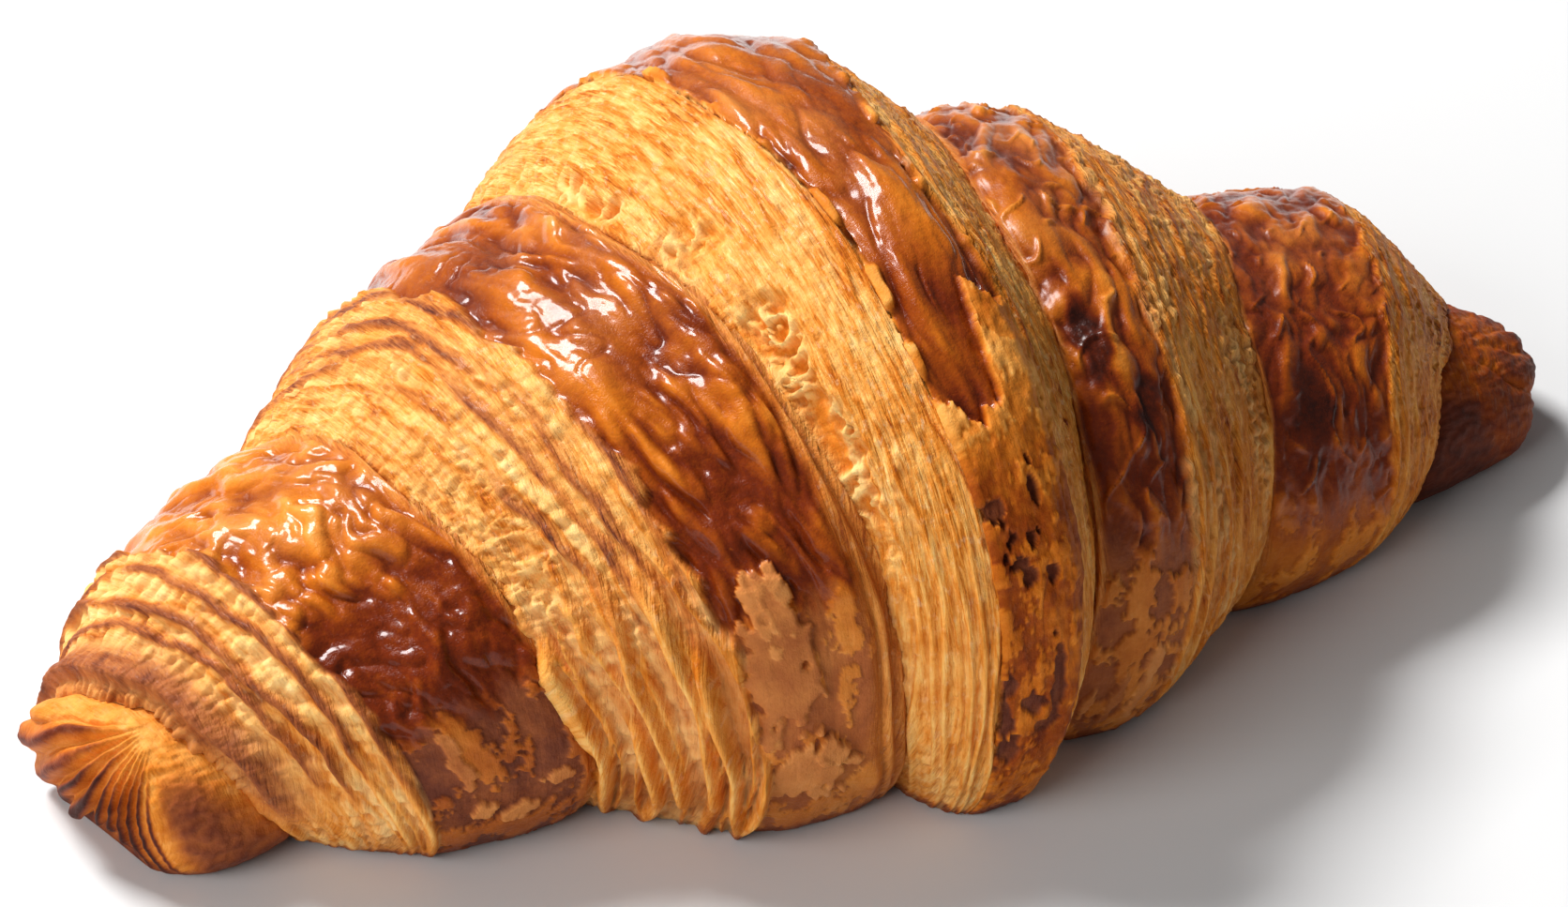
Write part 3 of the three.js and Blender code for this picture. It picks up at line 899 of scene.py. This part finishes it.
# Side, turn, rows on the crown and the face, columns, and degrees round where the glaze ends.
# Besides what the looks of crowns and faces hold, hem is the width in millimetres of the ribbons
# at the crevice, and hem_low how many times as wide they are low down.
TURNS = (
    ("croissant_left_turn_1", LEFT, 1, (66, 72), 560, 112, dict(
        seed=11, across=2.8, along=8.0, puff=1.2, lobes=1.5, busy=0.25, fold=0.0, shoulder=0.8,
        saddle=0.6, over=1.0, hem=3.2, hem_low=1.8, bake=0.68, spread=0.42, low_bake=0.18,
        dark_length=27, edge_soft=2.0, bare_bake=0.60, bare_skin=0.7, bare_gloss=0.15, torn=0.7,
        low=(2.4, 1.9), layers=7, lip=0.8, ledge_bake=0.26, bubbly=0.4,
        ledges=((0.14, 0.6), (0.30, 0.8), (0.46, 0.6), (0.62, 0.9)),
        strands=6, cord=2.8, gap_dull_and_shade=0.6, crumb=1.0, deep=0.4, fibre=0.9, face_bake=0.22)),
    ("croissant_left_turn_2", LEFT, 2, (72, 66), 500, 113, dict(
        seed=19, across=3.4, along=5.6, puff=1.35, lobes=1.0, busy=0.5, fold=0.0, shoulder=0.3,
        saddle=0.2, over=0.4, hem=2.4, hem_low=1.0, bake=0.51, spread=0.30, low_bake=0.51,
        dark_length=23, edge_soft=2.0, bare_bake=0.74, bare_skin=0.85, bare_gloss=0.12, torn=1.0,
        low=(2.1, 1.5), layers=5, lip=0.7, ledge_bake=0.42, bubbly=1.0,
        ledges=((0.06, 0.9), (0.24, 1.1), (0.43, 1.4), (0.59, 0.9)),
        strands=6, cord=1.0, gap_dull_and_shade=0.4, crumb=1.0, deep=0.0, fibre=0.55, face_bake=0.21)),
    ("croissant_right_turn_1", RIGHT, 1, (56, 66), 500, 107, dict(
        seed=29, across=3.2, along=7.0, puff=0.8, lobes=1.3, busy=0.8, fold=0.4, shoulder=0.0,
        saddle=0.2, over=0.4, hem=1.2, hem_low=1.5, bake=0.68, spread=0.34, low_bake=0.14,
        dark_length=27, edge_soft=4.0, bare_bake=0.62, bare_skin=0.85, bare_gloss=0.12, torn=1.2,
        low=(2.5, 1.95), layers=7, lip=0.5, ledges=(), ledge_bake=0.0, bubbly=0.0,
        strands=6, cord=0.6, gap_dull_and_shade=0.3, crumb=0.7, deep=0.3, fibre=1.0, face_bake=0.30)),
    ("croissant_right_turn_2", RIGHT, 2, (64, 50), 420, 96, dict(
        seed=37, across=3.2, along=6.0, puff=0.7, lobes=1.3, busy=0.7, fold=0.35, shoulder=0.0,
        saddle=0.0, over=0.4, hem=1.2, hem_low=1.0, bake=0.72, spread=0.32, low_bake=0.12,
        dark_length=27, edge_soft=5.0, bare_bake=0.64, bare_skin=0.2, bare_gloss=0.12, torn=0.8,
        low=(2.5, 1.95), layers=6, lip=0.4, ledges=(), ledge_bake=0.0, bubbly=0.0,
        strands=6, cord=0.4, gap_dull_and_shade=0.3, crumb=0.2, deep=0.0, fibre=1.0, face_bake=0.32)),
)
# Loose flakes: millimetres beyond the crevice, degrees round, and half sizes
FLAKES = {
    "croissant_left_turn_1": (
        (12.2, 104.0, 3.3, 7.0), (12.8, 116.0, 0.9, 4.5), (10.4, 117.0, 0.7, 3.2),
        (11.0, 80.0, 3.6, 3.6), (8.4, 84.0, 1.5, 1.9), (6.4, 80.0, 1.3, 0.7)),
    "croissant_left_turn_2": (
        (13.6, 100.0, 0.9, 3.0), (5.4, 86.0, 1.6, 0.8), (13.2, 82.0, 1.6, 1.0),
        (9.0, 78.0, 2.4, 0.8)),
    "croissant_right_turn_1": (
        (5.4, 72.0, 0.6, 4.0), (8.0, 76.0, 0.7, 5.0), (3.0, 70.0, 0.5, 3.0)),
}
# Lifted edges of skin: millimetres beyond the crevice and degrees round, from and to
FILMS = {
    "croissant_right_turn_1": (
        (8.2, 118.0, 6.0, 132.0), (9.2, 104.0, 9.8, 128.0), (3.6, 104.0, 4.6, 112.0)),
    "croissant_right_turn_2": ((4.0, 101.0, 6.0, 112.0),),
}
# Large blisters: millimetres beyond the crevice, degrees round, and half size
BLISTERS = {
    "croissant_left_turn_1": ((3.9, 150.0, 2.1), (8.6, 128.0, 1.4)),
    "croissant_left_turn_2": ((8.6, 150.0, 1.5),),
}
# Nearly black spots: millimetres beyond the crevice, degrees round, and half sizes
SCORCHES = {
    "croissant_right_turn_1": ((7.9, 129.0, 2.2, 3.8), (3.4, 141.0, 1.8, 5.5)),
    "croissant_right_turn_2": ((6.0, 122.0, 3.0, 5.0),),
}

for name, side, turn, counts, around, glaze_end, look in TURNS:
    angle = columns(around)
    inner = tuck_rows(side, turn - 1, angle, True)
    crown = crown_rows(side, turn, angle, counts[0])
    face = face_rows(side, turn, angle, counts[1])
    outer = tuck_rows(side, turn, angle, False)
    distance = np.concatenate([inner[0], crown[0], face[0], outer[0]])
    radius = np.concatenate([inner[1], crown[1], face[1], outer[1]])
    base = skin(side, distance, angle, radius)
    lengths = lengths_round(base)
    t = lengths[None, :] + 0 * distance[:1]
    # The crown's marks also cover the face, where a ragged brim of its skin hangs over.
    both = np.concatenate([crown[0], face[0]])
    s = both - crest(side, turn, angle)
    ragged_end = at_degrees(glaze_end, angle, lengths)
    x = both - crevice(side, turn - 1, angle)
    u = np.concatenate([crown[2], 1 + face[2]])
    t_both = t + 0 * s
    crown_marks = crown_zone(s, u, x, t_both, angle, ragged_end, look)
    hem = look["hem"] * mix(1.0, look["hem_low"], between(angle, 2.5, 1.9))
    hemmed(crown_marks, x, t_both, hem, look["seed"] + 70)
    for number, (middle, degrees, half_across, half_along) in enumerate(SCORCHES.get(name, ())):
        here = at_degrees(degrees, angle, lengths)
        away = np.hypot((x - middle) / half_across, (t_both - here) / half_along)
        spot = between(away + 0.5 * lumps(x / 2, t_both / 3, look["seed"] + 90 + number), 1.2, 0.4)
        crown_marks["bake"] = mix(crown_marks["bake"], SPOT_BAKE, spot)
    for middle, degrees, half in BLISTERS.get(name, ()):
        here = at_degrees(degrees, angle, lengths)
        away = np.hypot(x - middle, 0.85 * (t_both - here)) / half
        crown_marks["relief"] += BLISTER_SLOPE * half * np.clip(1 - away ** 2, 0, 1)
        crown_marks["bake"] -= 0.14 * between(away, 1.1, 0.5)
    for number, (start, low_end, end, high_end) in enumerate(FILMS.get(name, ())):
        start = (start, at_degrees(low_end, angle, lengths))
        end = (end, at_degrees(high_end, angle, lengths))
        filmed(crown_marks, x, t_both, start, end, look["seed"] + 95 + number)
    for number, (middle, degrees, *half) in enumerate(FLAKES.get(name, ())):
        here = (middle, at_degrees(degrees, angle, lengths))
        mask = patch(x, t_both, here, half, 0.6, look["seed"] + 400 + 3 * number)
        flake_bake = FLAKE_BAKE[number > 0] + 0.08 * lumps(x / 2.2, t_both / 2.6, number)
        flaked(crown_marks, mask, FLAKE_HEIGHT, flake_bake)
    beyond_crest = face[0] - crest(side, turn, angle)
    face_marks = face_zone(face[2], beyond_crest, t + 0 * face[2], angle, look)
    if name == "croissant_left_turn_2":
        lipped(face_marks, face[2], t, angle)
    on_brim = brim(s, x, t_both, look)[counts[0]:]
    for key, mark in crown_marks.items():
        face_marks[key] = mix(face_marks[key], mark[counts[0]:], on_brim)
        crown_marks[key] = mark[:counts[0]]
    inside = zone(inner[0], bake=0.35, crumb=0.5)
    marks = stacked([inside, crown_marks, face_marks, zone(outer[0], bake=0.3, crumb=0.8)])
    sheet = raised(base, marks["relief"], angle, side["sign"])
    marks = scorched(marks, sheet)
    piece = closed_piece(name, sheet, marks, (distance, t + 0 * distance))
    handed_over(piece, pastry_material(name, side["coat_roughness"]))


# The two tips: the pinched ends of the roll, closed by hand. The left one fans out from its
# neck in pleats with burnt ridges, beside a smooth brown cheek. The right one is a short,
# dark stub with a few folds. Both are the ends of the same dough.

def direction(azimuth, elevation):
    """Towards a light or camera: azimuth 0 is the front, -90 is the left."""
    az, el = np.radians(azimuth), np.radians(elevation)
    return Vector((np.sin(az) * np.cos(el), -np.cos(az) * np.cos(el), np.sin(el)))


# Side, rows and columns. The pleats fan out from the neck, at those degrees round, over bearings
# seen from the azimuth and elevation that the tip is facing, and the cheek takes up others.
TIPS = (
    ("croissant_left_tip", LEFT, 100, 400, dict(
        seed=51, fillet=3.6, facing=(-50, 25), neck=159, fan=(-168, -74), pleats=(6.5, 3.5),
        height=1.5, bake=0.35, rim_bake=0.12, ridge_bake=0.60, cheek=(-66, -34),
        cheek_bake=0.74)),
    ("croissant_right_tip", RIGHT, 60, 240, dict(
        seed=57, fillet=1.0, facing=(-27, 35), neck=150, fan=(-62, 30), pleats=(2.6, 1.2),
        height=0.6, bake=0.72, rim_bake=0.0, ridge_bake=0.10, cheek=(-120, -62),
        cheek_bake=0.88)),
)
TIP_COAT_ROUGHNESS = 0.2
END_BULGE = 1.2
CAP_ROWS = 70

for name, side, count, around, look in TIPS:
    seed = look["seed"]
    angle = columns(around)
    inner = tuck_rows(side, 2, angle, True)
    at = np.linspace(0, 1, count)[:, None]
    start = crevice(side, 2, angle) + 0.2
    end = side["reach"] - side["undercut"] * np.cos(angle)

    def band(at):
        """Place along the roll and radius, from the crevice at 0 to the tip's corner at 1."""
        distance = mix(start, end, at)
        swell = side["tip_swell"] * np.sin(at * np.pi / 2)
        radius = roll_radius(side, distance) * (1 - step_at(side, 2, angle) * (1 - swell))
        return distance, radius - CREVICE_DEPTH * np.exp(-(distance - start) / 0.6)

    def cap(closing):
        """The same from the corner at 0 to the pole at 1."""
        return end + END_BULGE * closing * (2 - closing), corner[1] * (1 - closing) ** 0.9

    # The corner between them is rounded by a fillet, the more so in front.
    corner = band(1.0)
    closing = np.linspace(0, 1, CAP_ROWS, endpoint=False)[1:, None]
    fillet = 0.6 + look["fillet"] * between(angle, 0.4, 1.0) * between(angle, 4.0, 3.3)
    fillet = np.minimum(fillet, 0.8 * (end - start))
    before = band(1 - fillet / (end - start))
    after = cap(fillet / corner[1])
    beyond = np.concatenate([(at - 1) * (end - start), closing * corner[1]])
    turned = np.clip((beyond + fillet) / (2 * fillet), 0, 1)
    profile = []
    for axis in (0, 1):
        plain = np.concatenate([band(at)[axis], cap(closing)[axis] + 0 * angle])
        bent = (1 - turned) ** 2 * before[axis] + 2 * turned * (1 - turned) * corner[axis]
        bent = bent + turned ** 2 * after[axis]
        profile.append(np.where(np.abs(beyond) < fillet, bent, plain))
    distance = np.concatenate([inner[0], profile[0]])
    radius = np.concatenate([inner[1], profile[1]])
    base = skin(side, distance, angle, radius)
    t = lengths_round(base)[None, :] + 0 * distance
    # The pleats, laid out round the neck on the plane that the tip is facing
    facing = np.array(direction(*look["facing"]))
    level = np.cross((0, 0, 1), facing)
    level = level / np.linalg.norm(level)
    upward = np.cross(facing, level)
    neck = base[len(inner[0]), np.argmin(np.abs(angle - np.radians(look["neck"])))]
    away = base - neck
    out_along = away @ level
    out_up = away @ upward
    far = np.hypot(out_along, out_up)
    bearing = np.degrees(np.arctan2(out_up, out_along))
    first, last = look["fan"]
    way = (bearing - first) / (last - first)
    fan = between(way, -0.03, 0.05) * between(way, 1.03, 0.93)
    fold = np.pi * (look["pleats"][0] * way + look["pleats"][1] * way ** 3)
    fold = fold + 1.1 * lumps(4.3 * way, 0.3, seed + 4) + 0.9 * lumps(far / 6, way * 2, seed)
    ridge = np.abs(np.sin(fold)) ** 1.2
    cheek = between(bearing, look["cheek"][0] - 8, look["cheek"][0] + 6)
    cheek = cheek * between(bearing, look["cheek"][1] + 12, look["cheek"][1] - 12)
    cheek = cheek * between(far, 3, 8)
    # How far they stand out
    rough = lumps(base[..., 0] / 1.4, base[..., 1] / 1.4 + base[..., 2], seed + 1)
    strong = 0.75 + 0.45 * lumps(3.1 * way, 0.5, seed + 5)
    fading = between(way, 1.05, 0.75)
    strong = strong + 0.35 * lumps(5 * way, far / 5, seed + 7)
    crumbs = lumps(base[..., 0] / 0.7, base[..., 1] / 0.7 + base[..., 2] / 0.9, seed + 8)
    relief = fan * fading * strong * look["height"] * between(far, 0.8, 8) * (ridge - 0.4)
    relief = relief + 0.18 * rough + 0.07 * crumbs
    # How brown their ridges, the rim and the cheek are
    burnt = ridge ** 3 * between(far + 2 * lumps(way * 5, 0.9, seed + 6), 2.5, 8)
    burnt = burnt * mix(0.55, 1.0, between(way, 0.25, 0.45))
    rimmed = fan * between(far + 2.5 * lumps(way * 7, far / 3, seed + 9), 6.5, 10)
    blotch = lumps(base[..., 0] / 3.5, base[..., 1] / 3.5 + base[..., 2] / 2.5, seed + 10)
    bake = look["bake"] + 0.08 * rough + 0.07 * blotch + fan * burnt * look["ridge_bake"]
    bake = bake + look["rim_bake"] * rimmed
    bake = mix(bake, look["cheek_bake"] + 0.08 * rough, cheek)
    skinned = np.maximum(0.7 * cheek, 0.8 * fan * burnt)
    skinned = np.maximum(skinned, 2 * look["rim_bake"] * rimmed)
    marks = zone(distance, relief=relief, bake=bake, skin=skinned, fibre=0.25 * (1 - cheek))
    sheet = raised(base, marks["relief"], angle, side["sign"])
    marks = scorched(marks, sheet)
    piece = closed_piece(name, sheet, marks, (distance, t), ends=True)
    handed_over(piece, pastry_material(name, TIP_COAT_ROUGHNESS))


# The stage: a pale table top, a white room and a large soft window behind to the left,
# with a weaker fill from the left. The camera looks from the left front, from above.

TABLE_HALF = 2.0
TABLE_GREY = (0.72, 0.72, 0.72, 1)
ROOM_WHITE = (1.0, 1.0, 1.0, 1)
ROOM_LIGHT = 0.14

floor_mesh = bpy.data.meshes.new("floor")
corners = [(x * TABLE_HALF, y * TABLE_HALF, 0) for x, y in ((-1, -1), (1, -1), (1, 1), (-1, 1))]
floor_mesh.from_pydata(corners, [], [(0, 1, 2, 3)])
floor = bpy.data.objects.new("floor", floor_mesh)
bpy.context.scene.collection.objects.link(floor)
pale = bpy.data.materials.new("pale table")
pale.use_nodes = True
pale_surface = pale.node_tree.nodes["Principled BSDF"]
pale_surface.inputs["Base Color"].default_value = TABLE_GREY
pale_surface.inputs["Roughness"].default_value = 0.9
floor_mesh.materials.append(pale)

world = bpy.context.scene.world or bpy.data.worlds.new("room")
bpy.context.scene.world = world
world.use_nodes = True
world.node_tree.nodes["Background"].inputs["Color"].default_value = ROOM_WHITE
world.node_tree.nodes["Background"].inputs["Strength"].default_value = ROOM_LIGHT
bpy.context.scene.view_settings.view_transform = "Standard"


def softbox(name, azimuth, elevation, away, size, power):
    lamp = bpy.data.lights.new(name, "AREA")
    lamp.shape = "RECTANGLE"
    lamp.size, lamp.size_y = size
    lamp.energy = power
    holder = bpy.data.objects.new(name, lamp)
    bpy.context.scene.collection.objects.link(holder)
    towards = direction(azimuth, elevation)
    holder.location = towards * away
    holder.rotation_euler = towards.to_track_quat("Z", "Y").to_euler()
    return holder


softbox("window", azimuth=-152, elevation=52, away=1.2, size=(0.44, 0.36), power=21)
fill = softbox("side", azimuth=-68, elevation=30, away=1.2, size=(0.8, 0.6), power=8.5)
fill.visible_glossy = False

CAMERA_AZIMUTH = -26.686
CAMERA_ELEVATION = 35.291
CAMERA_AWAY = 0.557593
CAMERA_AIM = (-0.002359, 0.000078, 0.016633)
CAMERA_ROLL = 0.299
CAMERA_LENS = 130.4

toward = direction(CAMERA_AZIMUTH, CAMERA_ELEVATION)
camera_data = bpy.data.cameras.new("camera")
camera_data.lens = CAMERA_LENS
camera_data.sensor_width = 36.0
camera = bpy.data.objects.new("camera", camera_data)
bpy.context.scene.collection.objects.link(camera)
camera.location = Vector(CAMERA_AIM) + toward * CAMERA_AWAY
level = toward.to_track_quat("Z", "Y").to_matrix()
camera.rotation_euler = (level @ Matrix.Rotation(np.radians(CAMERA_ROLL), 3, "Z")).to_euler()
bpy.context.scene.camera = camera
